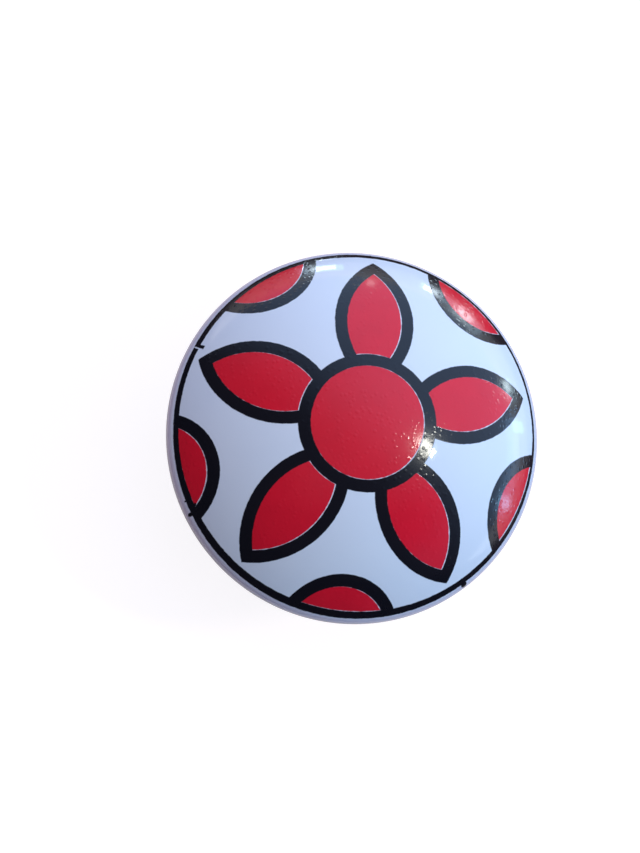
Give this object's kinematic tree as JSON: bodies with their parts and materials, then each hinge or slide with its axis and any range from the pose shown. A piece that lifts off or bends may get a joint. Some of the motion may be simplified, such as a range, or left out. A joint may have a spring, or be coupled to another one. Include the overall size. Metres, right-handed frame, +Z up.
{
  "type": "cabinet knob",
  "caption": "Round glazed ceramic pull knob for a cabinet or drawer: domed printed face, waisted neck, ringed foot and a blind threaded fixing in the back.",
  "frame": {"origin": "centre of the foot's flat ring, where the knob bears on the furniture", "axes": "+Z up the knob's own axis, from the foot to the top of the dome; X and Y lie in the plane of the foot"},
  "size_m": [0.038, 0.038, 0.0291],
  "materials": {
    "white_glaze": "glossy white glaze with a cool tint, bare ground ring under the foot",
    "red_enamel": "glossy fired red print",
    "black_enamel": "glossy fired black print",
    "cement": "matt grey setting cement",
    "brass": "turned hexagon bar, lightly tarnished"
  },
  "bodies": {
    "root": {"knob_body": "white_glaze", "cement_bed": "cement", "threaded_insert": "brass", "red_print": "red_enamel", "black_print": "black_enamel"}
  },
  "joints": []
}
